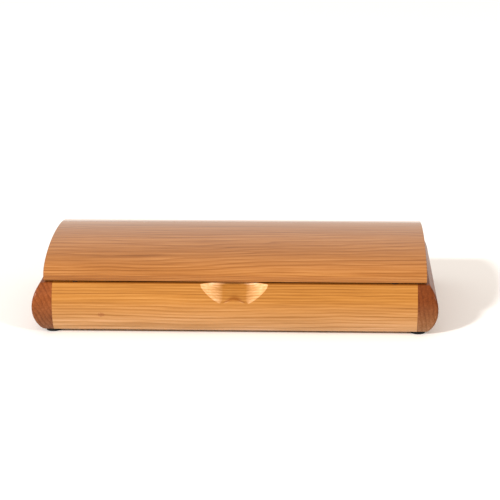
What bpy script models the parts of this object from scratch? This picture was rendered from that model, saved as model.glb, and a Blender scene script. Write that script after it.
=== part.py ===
"""Low hardwood box with an arched, hinged lid.

Four bulging walls stand on rubber feet: a front and a back panel between two darker end pieces.
A thin bottom panel sits in a groove round the walls, and a felt lining lies on it. The solid lid
has an elliptical arch and turns on two small brass butt hinges. A two-lobed finger scoop is carved
in the top of the front panel.

Metres, +Z up. X runs along the box, -Y is the front, and the origin is on the floor under the middle.
"""
import math

import bmesh
import bpy
from mathutils import Matrix, Vector

# ---------------------------------------------------------------- driving dimensions
GAP = 0.0003                 # clearance between neighbouring pieces

BOX_LENGTH = 0.305           # over the widest part of the two end pieces
BOX_DEPTH = 0.160            # over the widest part of the front and back panels
FOOT_HEIGHT = 0.0025
WALL_HEIGHT = 0.0365
BULGE_HEIGHT = 0.018         # where the walls are widest, above their bottom edge
TOP_SETBACK = 0.0065         # how far a wall's top edge lies inside its widest line
BOTTOM_SETBACK = 0.0070      # the same for its bottom edge

PANEL_THICKNESS = 0.018      # front and back panels, at the widest line
END_THICKNESS = 0.019        # end pieces, at the widest line
SEAM_X = 0.137               # where a panel's end meets an end piece
GROOVE_DEPTH = 0.004
BOTTOM_THICKNESS = 0.004
BOTTOM_RISE = 0.0042         # bottom panel's underside above the walls' bottom edge
FELT_THICKNESS = 0.0015

LID_GAP = 0.001              # open line between the walls and the lid
LID_INSET = 0.002            # lid's edge inside the walls' top edge, all round
LID_EDGE = 0.004             # upright edge of the lid, below the arch
LID_HEIGHT = 0.022           # underside to crown

SCOOP_SPACING = 0.0151       # between the middles of the two lobes
SCOOP_HALF_WIDTH = 0.019     # one lobe, at its middle
SCOOP_REACH = 0.0137         # the same, inwards from the panel's widest line
SCOOP_HEIGHT = 0.0204        # the same, downwards
SCOOP_MIDDLE_RISE = 0.0068   # middle of a lobe above the panel's top edge

HINGE_X = 0.090              # middle of a hinge from the middle of the box
HINGE_LENGTH = 0.025
LEAF_THICKNESS = 0.0011
LEAF_FRONT_Y = 0.065
PIN_Y = 0.0756
PIN_RADIUS = 0.0010
KNUCKLE_BORE = 0.0013
KNUCKLE_RADIUS = 0.0022
MIDDLE_KNUCKLE = 0.0084      # length of the lid leaf's knuckle

SCREW_SPACING = 0.014
SCREW_Y = 0.0683
SCREW_HEAD_RADIUS = 0.0019
SCREW_SHANK_RADIUS = 0.0010
SCREW_LENGTH = 0.0065
SCREW_POINT = 0.0020         # length of the tapered point
SCREW_HEAD_DEPTH = 0.0009

FOOT_X = 0.138
FOOT_Y = 0.0662
FOOT_TOP_RADIUS = 0.00635
FOOT_BOTTOM_RADIUS = 0.0054

BUMPER_X = 0.120
BUMPER_RADIUS = 0.003
BUMPER_RECESS = 0.0015

ARC_STEPS = 10               # straight pieces in each arc of a wall's outer face
LID_STEPS = 28               # straight pieces in the lid's arch
ROUND_STEPS = 20             # sides of small round things
OVERCUT = 0.010              # how far a cutter runs past the wood

# ---------------------------------------------------------------- derived sizes
WALL_BOTTOM = FOOT_HEIGHT
WALL_TOP = WALL_BOTTOM + WALL_HEIGHT
BULGE_Z = WALL_BOTTOM + BULGE_HEIGHT
INNER_Y = BOX_DEPTH / 2 - PANEL_THICKNESS
INNER_X = BOX_LENGTH / 2 - END_THICKNESS
RIM_Y = BOX_DEPTH / 2 - TOP_SETBACK
RIM_X = BOX_LENGTH / 2 - TOP_SETBACK

LID_BOTTOM = WALL_TOP + LID_GAP
LID_HALF_LENGTH = RIM_X - LID_INSET
LID_HALF_DEPTH = RIM_Y - LID_INSET

PANEL_BOTTOM_Z = WALL_BOTTOM + BOTTOM_RISE
FELT_Z = PANEL_BOTTOM_Z + BOTTOM_THICKNESS + GAP

PIN_Z = (WALL_TOP + LID_BOTTOM) / 2
BUMPER_BOTTOM = WALL_TOP - BUMPER_RECESS + GAP
BUMPER_TOP = LID_BOTTOM - GAP
BUMPER_Y = -(INNER_Y + RIM_Y) / 2

# colour (linear), roughness, metallic
MATERIALS = {
    "cherry": ((0.640, 0.270, 0.095), 0.38, 0.0),
    "dark_wood": ((0.290, 0.085, 0.032), 0.36, 0.0),
    "plywood": ((0.560, 0.330, 0.160), 0.55, 0.0),
    "felt": ((0.060, 0.022, 0.018), 0.95, 0.0),
    "brass": ((0.700, 0.480, 0.190), 0.30, 1.0),
    "black_rubber": ((0.012, 0.011, 0.010), 0.70, 0.0),
}


# ---------------------------------------------------------------- helpers
def clear_scene():
    for obj in list(bpy.data.objects):
        bpy.data.objects.remove(obj, do_unlink=True)


def new_collection(name):
    collection = bpy.data.collections.new(name)
    bpy.context.scene.collection.children.link(collection)
    return collection


def make_material(name):
    colour, roughness, metallic = MATERIALS[name]
    material = bpy.data.materials.new(name)
    material.use_nodes = True
    shader = material.node_tree.nodes["Principled BSDF"]
    shader.inputs["Base Color"].default_value = (*colour, 1.0)
    shader.inputs["Roughness"].default_value = roughness
    shader.inputs["Metallic"].default_value = metallic
    return material


def add_mesh_object(name, bm, collection):
    mesh = bpy.data.meshes.new(name)
    bm.to_mesh(mesh)
    bm.free()
    obj = bpy.data.objects.new(name, mesh)
    collection.objects.link(obj)
    return obj


def make_box(name, low, high, collection):
    """A rectangular block between two opposite corners."""
    bm = bmesh.new()
    bmesh.ops.create_cube(bm, size=1.0)
    size = Vector(high) - Vector(low)
    middle = (Vector(high) + Vector(low)) / 2
    bmesh.ops.scale(bm, vec=size, verts=bm.verts)
    bmesh.ops.translate(bm, vec=middle, verts=bm.verts)
    return add_mesh_object(name, bm, collection)


def make_cone(name, base, radius_base, radius_top, height, collection, axis="Z"):
    """A cylinder or cone that starts at base and runs along +axis."""
    bm = bmesh.new()
    bmesh.ops.create_cone(bm, cap_ends=True, segments=ROUND_STEPS, depth=height,
                          radius1=radius_base, radius2=radius_top)
    bmesh.ops.translate(bm, vec=(0, 0, height / 2), verts=bm.verts)
    if axis == "X":
        bmesh.ops.rotate(bm, matrix=Matrix.Rotation(math.radians(90), 3, "Y"), verts=bm.verts)
    bmesh.ops.translate(bm, vec=base, verts=bm.verts)
    return add_mesh_object(name, bm, collection)


def extrude_outline(name, outlines, length, collection, along="X"):
    """Extrude closed outlines of (across, up) points to a solid of the given length, centred.

    The outline is a 2D curve. It is drawn in the YZ plane for a solid along X, and in the XZ
    plane for one along Y. A second outline inside the first is a hole.
    """
    curve = bpy.data.curves.new(name, "CURVE")
    curve.dimensions = "2D"
    curve.fill_mode = "BOTH"
    curve.extrude = length / 2
    for outline in outlines:
        spline = curve.splines.new("POLY")
        spline.points.add(len(outline) - 1)
        for point, (across, up) in zip(spline.points, outline):
            point.co = (across, up, 0, 1)
        spline.use_cyclic_u = True
    curve_object = bpy.data.objects.new(name + "_outline", curve)
    bpy.context.scene.collection.objects.link(curve_object)
    stand_up = Matrix.Rotation(math.radians(90), 4, "X")
    turn = Matrix.Rotation(math.radians(90), 4, "Z") if along == "X" else Matrix.Identity(4)
    curve_object.matrix_world = turn @ stand_up
    bpy.context.view_layer.update()

    evaluated = curve_object.evaluated_get(bpy.context.evaluated_depsgraph_get())
    mesh = bpy.data.meshes.new_from_object(evaluated)
    bm = bmesh.new()
    bm.from_mesh(mesh)
    bmesh.ops.remove_doubles(bm, verts=bm.verts, dist=0.00001)
    bmesh.ops.recalc_face_normals(bm, faces=bm.faces)
    bm.to_mesh(mesh)
    bm.free()
    mesh.name = name
    obj = bpy.data.objects.new(name, mesh)
    collection.objects.link(obj)
    obj.matrix_world = curve_object.matrix_world.copy()
    bpy.data.objects.remove(curve_object, do_unlink=True)
    return obj


def hide_cutter(obj):
    obj.hide_render = True
    obj.display_type = "WIRE"


def apply_boolean(obj, cutter, operation="DIFFERENCE"):
    modifier = obj.modifiers.new(operation.title() + "_" + cutter.name, "BOOLEAN")
    modifier.operation = operation
    modifier.object = cutter
    modifier.solver = "EXACT"


def finish(obj, material, smooth_angle=None):
    obj.data.materials.clear()
    obj.data.materials.append(material)
    if smooth_angle is not None:
        obj.data.shade_smooth()
        obj.data.set_sharp_from_angle(angle=math.radians(smooth_angle))
    return obj


# ---------------------------------------------------------------- outlines
def arc_setback(distance, reach, setback):
    """Setback of a circular arc at a distance from its widest line.

    The arc is upright at the widest line and has the given setback at the distance reach.
    """
    radius = (reach ** 2 + setback ** 2) / (2 * setback)
    return radius - math.sqrt(radius ** 2 - distance ** 2)


def wall_face(widest):
    """Outer face of a wall, bottom edge to top edge, as (across, up) points."""
    below = BULGE_Z - WALL_BOTTOM
    above = WALL_TOP - BULGE_Z
    points = []
    for step in range(ARC_STEPS, 0, -1):
        drop = below * step / ARC_STEPS
        points.append((widest - arc_setback(drop, below, BOTTOM_SETBACK), BULGE_Z - drop))
    for step in range(ARC_STEPS + 1):
        rise = above * step / ARC_STEPS
        points.append((widest - arc_setback(rise, above, TOP_SETBACK), BULGE_Z + rise))
    return points


def lid_outline():
    """Upright edges with half an ellipse on top of them."""
    rise = LID_HEIGHT - LID_EDGE
    points = [(-LID_HALF_DEPTH, LID_BOTTOM), (LID_HALF_DEPTH, LID_BOTTOM)]
    for step in range(LID_STEPS + 1):
        angle = math.pi * step / LID_STEPS
        across = LID_HALF_DEPTH * math.cos(angle)
        up = LID_BOTTOM + LID_EDGE + rise * math.sin(angle)
        points.append((across, up))
    return points


def leaf_outline(side):
    """A hinge leaf from the end: a flat plate that runs into a round knuckle.

    side is +1 for the lid's leaf, above the pin, and -1 for the box's leaf, below it.
    """
    near = LID_GAP / 2
    far = near + LEAF_THICKNESS
    start = math.pi - math.asin(near / KNUCKLE_RADIUS)
    end = math.pi - math.asin(far / KNUCKLE_RADIUS)
    points = [(LEAF_FRONT_Y, PIN_Z + side * far), (LEAF_FRONT_Y, PIN_Z + side * near)]
    sweep = 2 * math.pi - (start - end)
    for step in range(ROUND_STEPS + 1):
        angle = start + sweep * step / ROUND_STEPS
        across = PIN_Y + KNUCKLE_RADIUS * math.cos(angle)
        up = PIN_Z + side * KNUCKLE_RADIUS * math.sin(angle)
        points.append((across, up))
    return points


def circle_outline(middle_y, middle_z, radius):
    points = []
    for step in range(ROUND_STEPS):
        angle = 2 * math.pi * step / ROUND_STEPS
        points.append((middle_y + radius * math.cos(angle), middle_z + radius * math.sin(angle)))
    return points


# ---------------------------------------------------------------- cutters
def make_groove_cutter(cutters):
    """The groove round all four walls that holds the bottom panel."""
    groove = make_box(
        "groove_cutter",
        (-INNER_X - GROOVE_DEPTH, -INNER_Y - GROOVE_DEPTH, PANEL_BOTTOM_Z - GAP),
        (INNER_X + GROOVE_DEPTH, INNER_Y + GROOVE_DEPTH, PANEL_BOTTOM_Z + BOTTOM_THICKNESS + GAP),
        cutters)
    hide_cutter(groove)
    return groove


def make_scoop_cutter(side, cutters):
    """One lobe of the finger scoop: an ellipsoid whose middle is above the panel's widest line."""
    bm = bmesh.new()
    bmesh.ops.create_uvsphere(bm, u_segments=24, v_segments=14, radius=1.0)
    bmesh.ops.scale(bm, vec=(SCOOP_HALF_WIDTH, SCOOP_REACH, SCOOP_HEIGHT), verts=bm.verts)
    middle = (side * SCOOP_SPACING / 2, -BOX_DEPTH / 2, WALL_TOP + SCOOP_MIDDLE_RISE)
    bmesh.ops.translate(bm, vec=middle, verts=bm.verts)
    cutter = add_mesh_object("scoop_cutter_" + ("left" if side < 0 else "right"), bm, cutters)
    hide_cutter(cutter)
    return cutter


def make_mortise_cutters(side, cutters):
    """Housings for one hinge: for the box leaf, for the lid leaf and round the knuckles."""
    label = "left" if side < 0 else "right"
    half = HINGE_LENGTH / 2 + GAP
    leaf_far = LID_GAP / 2 + LEAF_THICKNESS
    low_x = side * HINGE_X - half
    high_x = side * HINGE_X + half
    box_housing = make_box(
        "box_mortise_" + label,
        (low_x, LEAF_FRONT_Y - GAP, PIN_Z - leaf_far - GAP),
        (high_x, PIN_Y + OVERCUT, PIN_Z), cutters)
    lid_housing = make_box(
        "lid_mortise_" + label,
        (low_x, LEAF_FRONT_Y - GAP, PIN_Z),
        (high_x, PIN_Y + OVERCUT, PIN_Z + leaf_far + GAP), cutters)
    knuckle_room = make_cone(
        "knuckle_room_" + label, (low_x, PIN_Y, PIN_Z),
        KNUCKLE_RADIUS + GAP, KNUCKLE_RADIUS + GAP, 2 * half, cutters, axis="X")
    for cutter in (box_housing, lid_housing, knuckle_room):
        hide_cutter(cutter)
    return box_housing, lid_housing, knuckle_room


def screw_places(side):
    """The X positions of the two screws in a leaf."""
    return [side * HINGE_X + offset * SCREW_SPACING / 2 for offset in (-1, 1)]


def make_screw_cutter(name, x, up, cutters):
    """Pilot hole with its countersink, for a screw at x that points up (+1) or down (-1)."""
    face_z = PIN_Z + up * LID_GAP / 2
    profile = [
        (0.0, KNUCKLE_RADIUS),
        (SCREW_HEAD_RADIUS + GAP, KNUCKLE_RADIUS),
        (SCREW_HEAD_RADIUS + GAP, 0.0),
        (SCREW_SHANK_RADIUS + GAP, -SCREW_HEAD_DEPTH),
        (SCREW_SHANK_RADIUS + GAP, -SCREW_LENGTH - GAP),
        (0.0, -SCREW_LENGTH - GAP),
    ]
    cutter = turn_profile(name, profile, cutters)
    place_turned(cutter, (x, SCREW_Y, face_z), up)
    hide_cutter(cutter)
    return cutter


def turn_profile(name, profile, collection):
    """Turn a profile of (radius, height) points, listed top to bottom, about the Z axis."""
    bm = bmesh.new()
    verts = [bm.verts.new((radius, 0.0, height)) for radius, height in profile]
    for first, second in zip(verts, verts[1:]):
        bm.edges.new((first, second))
    obj = add_mesh_object(name, bm, collection)
    screw = obj.modifiers.new("Turn", "SCREW")
    screw.axis = "Z"
    screw.angle = 2 * math.pi
    screw.steps = ROUND_STEPS
    screw.render_steps = ROUND_STEPS
    screw.use_merge_vertices = True
    screw.merge_threshold = 0.00001
    screw.use_normal_calculate = False
    return obj


def place_turned(obj, location, up):
    """Put a turned piece at a place. Its own +Z faces down where up is +1."""
    obj.location = location
    if up > 0:
        obj.rotation_euler = (math.pi, 0, 0)


# ---------------------------------------------------------------- pieces
def make_panel(name, side, parts, material, groove):
    """Front (-1) or back (+1) panel."""
    outline = [(side * INNER_Y, WALL_BOTTOM)]
    outline += [(side * across, up) for across, up in wall_face(BOX_DEPTH / 2)]
    outline += [(side * INNER_Y, WALL_TOP)]
    panel = extrude_outline(name, [outline], 2 * SEAM_X - GAP, parts)
    apply_boolean(panel, groove)
    return finish(panel, material, smooth_angle=30)


def make_front_panel(parts, cutters, materials, groove):
    panel = make_panel("front_panel", -1, parts, materials["cherry"], groove)
    for side in (-1, 1):
        apply_boolean(panel, make_scoop_cutter(side, cutters))
        recess = make_cone(
            "bumper_recess_" + ("left" if side < 0 else "right"),
            (side * BUMPER_X, BUMPER_Y, WALL_TOP - BUMPER_RECESS),
            BUMPER_RADIUS + GAP, BUMPER_RADIUS + GAP, BUMPER_RECESS + OVERCUT, cutters)
        hide_cutter(recess)
        apply_boolean(panel, recess)
    return panel


def make_back_panel(parts, cutters, materials, groove, mortises):
    panel = make_panel("back_panel", 1, parts, materials["cherry"], groove)
    for side, (box_housing, _, knuckle_room) in mortises.items():
        apply_boolean(panel, box_housing)
        apply_boolean(panel, knuckle_room)
        for index, x in enumerate(screw_places(side)):
            name = "box_screw_hole_{}_{}".format("left" if side < 0 else "right", index + 1)
            apply_boolean(panel, make_screw_cutter(name, x, -1, cutters))
    return panel


def make_end(side, parts, cutters, materials, groove):
    """An end piece runs the whole depth, and has a rabbet at each end for the panels."""
    label = "left" if side < 0 else "right"
    outline = [(side * INNER_X, WALL_BOTTOM)]
    outline += [(side * across, up) for across, up in wall_face(BOX_LENGTH / 2)]
    outline += [(side * INNER_X, WALL_TOP)]
    end = extrude_outline(label + "_end", [outline], BOX_DEPTH + OVERCUT, parts, along="Y")

    across_outline = wall_face(BOX_DEPTH / 2)
    mirrored = [(-across, up) for across, up in reversed(across_outline)]
    profile = extrude_outline(label + "_end_shape", [across_outline + mirrored],
                              BOX_LENGTH + OVERCUT, cutters)
    hide_cutter(profile)
    apply_boolean(end, profile, "INTERSECT")

    for face in (-1, 1):
        low_y, high_y = sorted((face * (INNER_Y - GAP), face * (BOX_DEPTH / 2 + OVERCUT)))
        low_x, high_x = sorted((side * (INNER_X - OVERCUT), side * (SEAM_X + GAP / 2)))
        rabbet = make_box(
            "{}_rabbet_{}".format(label, "front" if face < 0 else "rear"),
            (low_x, low_y, WALL_BOTTOM - OVERCUT), (high_x, high_y, WALL_TOP + OVERCUT), cutters)
        hide_cutter(rabbet)
        apply_boolean(end, rabbet)
    apply_boolean(end, groove)
    return finish(end, materials["dark_wood"], smooth_angle=30)


def make_bottom_panel(parts, materials):
    reach_x = INNER_X + GROOVE_DEPTH - GAP
    reach_y = INNER_Y + GROOVE_DEPTH - GAP
    panel = make_box("bottom_panel", (-reach_x, -reach_y, PANEL_BOTTOM_Z),
                     (reach_x, reach_y, PANEL_BOTTOM_Z + BOTTOM_THICKNESS), parts)
    return finish(panel, materials["plywood"])


def make_felt_lining(parts, materials):
    reach_x = INNER_X - GAP
    reach_y = INNER_Y - GAP
    lining = make_box("felt_lining", (-reach_x, -reach_y, FELT_Z),
                      (reach_x, reach_y, FELT_Z + FELT_THICKNESS), parts)
    return finish(lining, materials["felt"])


def make_lid(parts, cutters, materials, mortises, lid_pivot):
    lid = extrude_outline("lid_board", [lid_outline()], 2 * LID_HALF_LENGTH, parts)
    for side, (_, lid_housing, _) in mortises.items():
        apply_boolean(lid, lid_housing)
        for index, x in enumerate(screw_places(side)):
            name = "lid_screw_hole_{}_{}".format("left" if side < 0 else "right", index + 1)
            apply_boolean(lid, make_screw_cutter(name, x, 1, cutters))
    attach(lid, lid_pivot)
    return finish(lid, materials["cherry"], smooth_angle=30)


def attach(obj, pivot):
    """Parent a piece to a pivot without moving it."""
    bpy.context.view_layer.update()
    placed = obj.matrix_world.copy()
    obj.parent = pivot
    obj.matrix_parent_inverse = pivot.matrix_world.inverted()
    obj.matrix_world = placed


def knuckle_notches(side, up):
    """X ranges of a leaf's rear edge that the other leaf's knuckles take."""
    middle = side * HINGE_X
    inner = MIDDLE_KNUCKLE / 2
    outer = HINGE_LENGTH / 2 + OVERCUT
    if up < 0:
        return [(middle - inner - GAP, middle + inner + GAP)]
    return [(middle - outer, middle - inner), (middle + inner, middle + outer)]


def make_leaf(side, up, parts, cutters, materials):
    """A hinge leaf: the box's leaf (up = -1) or the lid's (up = +1)."""
    label = "left" if side < 0 else "right"
    owner = "box" if up < 0 else "lid"
    name = "hinge_{}_{}_leaf".format(label, owner)
    bore = circle_outline(PIN_Y, PIN_Z, KNUCKLE_BORE)
    leaf = extrude_outline(name, [leaf_outline(up), bore], HINGE_LENGTH, parts)
    leaf.location.x = side * HINGE_X
    for index, (low_x, high_x) in enumerate(knuckle_notches(side, up)):
        notch = make_box(
            "{}_notch_{}".format(name, index + 1),
            (low_x, PIN_Y - KNUCKLE_RADIUS - GAP, PIN_Z - 2 * KNUCKLE_RADIUS),
            (high_x, PIN_Y + 2 * KNUCKLE_RADIUS, PIN_Z + 2 * KNUCKLE_RADIUS), cutters)
        hide_cutter(notch)
        apply_boolean(leaf, notch)
    for index, x in enumerate(screw_places(side)):
        hole = make_screw_cutter("{}_hole_{}".format(name, index + 1), x, up, cutters)
        apply_boolean(leaf, hole)
    return finish(leaf, materials["brass"], smooth_angle=30)


def make_pin(side, parts, materials):
    label = "left" if side < 0 else "right"
    start = side * HINGE_X - HINGE_LENGTH / 2
    pin = make_cone("hinge_{}_pin".format(label), (start, PIN_Y, PIN_Z),
                    PIN_RADIUS, PIN_RADIUS, HINGE_LENGTH, parts, axis="X")
    return finish(pin, materials["brass"], smooth_angle=30)


def make_screw(name, x, up, parts, materials):
    """A countersunk wood screw, its head flush with the leaf's face."""
    profile = [
        (0.0, 0.0),
        (SCREW_HEAD_RADIUS, 0.0),
        (SCREW_SHANK_RADIUS, -SCREW_HEAD_DEPTH),
        (SCREW_SHANK_RADIUS, SCREW_POINT - SCREW_LENGTH),
        (0.0, -SCREW_LENGTH),
    ]
    screw = turn_profile(name, profile, parts)
    place_turned(screw, (x, SCREW_Y, PIN_Z + up * LID_GAP / 2), up)
    return finish(screw, materials["brass"], smooth_angle=30)


def make_hinge(side, parts, cutters, materials, lid_pivot):
    label = "left" if side < 0 else "right"
    make_leaf(side, -1, parts, cutters, materials)
    attach(make_leaf(side, 1, parts, cutters, materials), lid_pivot)
    make_pin(side, parts, materials)
    for index, x in enumerate(screw_places(side)):
        make_screw("screw_{}_box_{}".format(label, index + 1), x, -1, parts, materials)
        lid_screw = make_screw("screw_{}_lid_{}".format(label, index + 1), x, 1, parts, materials)
        attach(lid_screw, lid_pivot)


def make_foot(side, face, parts, materials):
    """A rubber foot, narrower at the floor."""
    name = "foot_{}_{}".format("front" if face < 0 else "rear", "left" if side < 0 else "right")
    foot = make_cone(name, (side * FOOT_X, face * FOOT_Y, 0.0), FOOT_BOTTOM_RADIUS,
                     FOOT_TOP_RADIUS, FOOT_HEIGHT - GAP, parts)
    return finish(foot, materials["black_rubber"], smooth_angle=40)


def make_bumper(side, parts, materials):
    """A small pad let into the front panel's rim, which the lid comes down on."""
    bumper = make_cone("lid_bumper_" + ("left" if side < 0 else "right"),
                       (side * BUMPER_X, BUMPER_Y, BUMPER_BOTTOM),
                       BUMPER_RADIUS, BUMPER_RADIUS, BUMPER_TOP - BUMPER_BOTTOM, parts)
    return finish(bumper, materials["black_rubber"], smooth_angle=40)


def make_lid_pivot():
    """An empty on the hinge axis, which carries everything that turns with the lid."""
    pivot = bpy.data.objects.new("lid_pivot", None)
    pivot.location = (0.0, PIN_Y, PIN_Z)
    bpy.context.scene.collection.objects.link(pivot)
    bpy.context.view_layer.update()
    return pivot


def build():
    clear_scene()
    parts = new_collection("arched_lid_box")
    cutters = new_collection("cutters")
    materials = {name: make_material(name) for name in MATERIALS}
    lid_pivot = make_lid_pivot()

    groove = make_groove_cutter(cutters)
    mortises = {side: make_mortise_cutters(side, cutters) for side in (-1, 1)}

    make_front_panel(parts, cutters, materials, groove)
    make_back_panel(parts, cutters, materials, groove, mortises)
    make_bottom_panel(parts, materials)
    make_felt_lining(parts, materials)
    make_lid(parts, cutters, materials, mortises, lid_pivot)
    for side in (-1, 1):
        make_end(side, parts, cutters, materials, groove)
        make_hinge(side, parts, cutters, materials, lid_pivot)
        make_bumper(side, parts, materials)
        for face in (-1, 1):
            make_foot(side, face, parts, materials)


build()
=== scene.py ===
import math

import bmesh
import bpy
from mathutils import Matrix, Vector, noise


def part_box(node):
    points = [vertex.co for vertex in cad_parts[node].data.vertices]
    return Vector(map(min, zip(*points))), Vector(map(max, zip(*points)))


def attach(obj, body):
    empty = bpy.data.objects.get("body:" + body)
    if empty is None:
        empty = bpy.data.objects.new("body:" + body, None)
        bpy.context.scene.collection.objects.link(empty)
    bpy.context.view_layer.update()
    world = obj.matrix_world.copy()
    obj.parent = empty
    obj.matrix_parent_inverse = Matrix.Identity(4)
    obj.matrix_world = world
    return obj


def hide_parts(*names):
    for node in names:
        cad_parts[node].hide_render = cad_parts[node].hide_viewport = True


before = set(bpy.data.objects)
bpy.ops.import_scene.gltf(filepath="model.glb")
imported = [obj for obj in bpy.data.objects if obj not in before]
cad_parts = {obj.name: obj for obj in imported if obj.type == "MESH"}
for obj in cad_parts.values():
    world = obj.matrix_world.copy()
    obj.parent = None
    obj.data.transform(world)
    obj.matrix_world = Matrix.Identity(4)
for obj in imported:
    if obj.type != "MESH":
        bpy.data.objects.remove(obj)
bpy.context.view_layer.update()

# Looks of the arched-lid box. Everything is in metres, in the CAD's frame: X along the box,
# -Y towards the front, +Z up. Sizes come from the CAD nodes' boxes where they can.

MM = 0.001

# ---------------------------------------------------------------- sizes from the frame
front_low, front_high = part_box("front_panel")
end_low, end_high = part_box("right_end")
lid_low, lid_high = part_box("lid_board")
bottom_low, bottom_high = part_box("bottom_panel")
felt_low, felt_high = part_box("felt_lining")

WALL_BOTTOM = front_low.z
WALL_TOP = front_high.z
WIDEST_Y = -front_low.y
INNER_Y = -front_high.y
WIDEST_X = end_high.x
INNER_X = end_low.x
LID_GAP = lid_low.z - WALL_TOP

# The walls' curve, as in the CAD: widest at BULGE_Z, with these setbacks at its two edges.
BULGE_Z = WALL_BOTTOM + 18.0 * MM
TOP_SETBACK = 6.5 * MM
BOTTOM_SETBACK = 7.0 * MM

SEAM_X = 137.0 * MM          # joint between a panel and an end piece
SEAM_GAP = 0.03 * MM         # on each side of that joint
HIDDEN_GAP = 0.3 * MM        # clearance of joints that don't show
EDGE_RADIUS = 0.5 * MM       # hand-softened edges of the walls
CORNER_RADIUS = 1.8 * MM     # upright corners of the end pieces
LID_EDGE = 4.0 * MM          # upright edge of the lid
LID_EDGE_RADIUS = 0.5 * MM
PLY_EDGE_RADIUS = 0.3 * MM
CUTTER_OVER = 5.0 * MM       # how far a cutter reaches past what it cuts
RECESS_OVER = 2.0 * MM       # the same for the bumpers' recesses, below the lid

# Finger scoop, in the top of the front panel.
SCOOP_HALF_WIDTH = 25.5 * MM  # at the rim
SCOOP_CORNER_SLOPE = 5.0     # drop of the outline for each unit across, at its top corners
SCOOP_SIDE_START = 27.7 * MM  # where the slanting sides would meet the rim
SCOOP_SIDE_SLOPE = 0.97
SCOOP_DROP = 14.2 * MM       # lowest point below the panel's top edge
SCOOP_HUMP = 2.8 * MM        # rise of the outline in the middle
SCOOP_HUMP_WIDTH = 7.2 * MM
SCOOP_CORNER_BLEND = 2.0 * MM
SCOOP_BOTTOM_BLEND = 5.0 * MM  # rounding of the outline between its sides and its bottom
SCOOP_FLOOR_HALF = 11.0 * MM  # the floor between the two sloping sides
SCOOP_FLOOR_BLEND = 10.5 * MM  # rounding between the floor and the sides
SCOOP_STEEPNESS = 0.50       # of the sides, which sets the depth: about 8 mm in the middle
SCOOP_LEDGE_STEEPNESS = 2.0  # of the step along the outline's bottom
SCOOP_WALL_HEIGHT = 1.8 * MM  # upright part of the scoop's back, below the rim
SCOOP_WALL_DEEPENING = 0.22  # that keeps this part upright, though the panel's face bulges
SCOOP_ARRIS = 0.25 * MM      # softness of the outline's edge
SCOOP_MARGIN = 1.4 * MM      # width of the finely drawn face round the scoop

# Hardware.
LEAF_THICKNESS = 1.1 * MM    # plate of a hinge leaf, as in the CAD
SCREW_SHANK_RADIUS = 1.0 * MM
SCREW_HEAD_DEPTH = 0.9 * MM
SCREW_HEAD_EDGE = 0.08 * MM  # soft edge of the head
SCREW_PITCH = 0.8 * MM
SCREW_ROOT = 0.72            # radius between the threads, as a part of their crests'
SCREW_POINT = 2.0 * MM       # length of the tapering point
SCREW_BARE_TIP = 0.4 * MM    # the end of the point, which has no thread
SLOT_HALF_WIDTH = 0.22 * MM
SLOT_DEPTH = 0.5 * MM
FOOT_TAPER = 0.9 * MM        # how much smaller a foot's radius is on the floor
FOOT_ROUNDING = 0.5 * MM
BUMPER_ROUNDING = 0.35 * MM

# How far each screw happened to stop, in degrees.
SCREW_TURNS = {
    ("left", "box", 1): 20,
    ("left", "box", 2): 95,
    ("left", "lid", 1): 140,
    ("left", "lid", 2): 60,
    ("right", "box", 1): 75,
    ("right", "box", 2): 10,
    ("right", "lid", 1): 35,
    ("right", "lid", 2): 120,
}

# The felt sheet's uneven nap.
FELT_COLUMNS = 132
FELT_ROWS = 62
FELT_WAVE = 0.12 * MM
FELT_WAVES_PER_METRE = 60.0
FELT_EDGE_DROP = 0.35        # of the thickness, along the cut edge

# ---------------------------------------------------------------- the woods' figure
# Sizes of the patterns in the wood: along the grain, and across it.
SWAY_SIZE = (160.0 * MM, 50.0 * MM)
SWING_SIZE = (45.0 * MM, 9.0 * MM)
FIBRE_SIZE = (55.0 * MM, 1.0 * MM)
STREAK_SIZE = (120.0 * MM, 2.6 * MM)
PORE_SIZE = (6.0 * MM, 0.35 * MM)
TONE_SIZE = (280.0 * MM, 22.0 * MM)

# How strongly they lighten and darken the wood, and where its range of tones is centred.
FIBRE_WEIGHT = 0.95
STREAK_WEIGHT = 0.42
TONE_WEIGHT = 0.55
MIDDLE_TONE = 0.36

YEARS_PER_STRENGTH = 0.55    # how quickly strong and faint years change
PALE_FROM = 30.0 * MM        # height at which a board starts to turn paler towards its lower edge
PALE_CURVE = 1.4             # how late it grows strong, towards the edge
FLECK_SIZE = (4.2 * MM, 20.0 * MM, 2.4 * MM)
FLECK_PLACE = (-100.0 * MM, -79.0 * MM, 16.0 * MM)
FLECK_COLOUR = (0.210, 0.060, 0.018)
FLECK_STRENGTH = 0.50
END_PALETTE = ((0.300, 0.090, 0.024), (0.200, 0.052, 0.010), (0.095, 0.021, 0.004))

# ---------------------------------------------------------------- camera and light
CAMERA_AIM = (0.0123, -0.0794, 0.0671)
CAMERA_DISTANCE = 1.326
CAMERA_AZIMUTH = 2.68
CAMERA_ELEVATION = 15.3
CAMERA_ROLL = -0.33
FOCAL_LENGTH = 128.93
SENSOR_WIDTH = 36.0
LIGHT_TARGET = (0.0, 0.0, 0.03)
WORLD_COLOUR = (1.0, 0.915, 0.835, 1.0)
WORLD_STRENGTH = 0.83
FLOOR_REACH = 8.0            # from the middle of the floor to its edges


# ---------------------------------------------------------------- mesh helpers
def object_from_bmesh(name, bm):
    mesh = bpy.data.meshes.new(name)
    bmesh.ops.recalc_face_normals(bm, faces=bm.faces)
    bm.to_mesh(mesh)
    bm.free()
    obj = bpy.data.objects.new(name, mesh)
    bpy.context.scene.collection.objects.link(obj)
    return obj


def smooth(obj, angle=35.0):
    obj.data.shade_smooth()
    obj.data.set_sharp_from_angle(angle=math.radians(angle))


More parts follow.
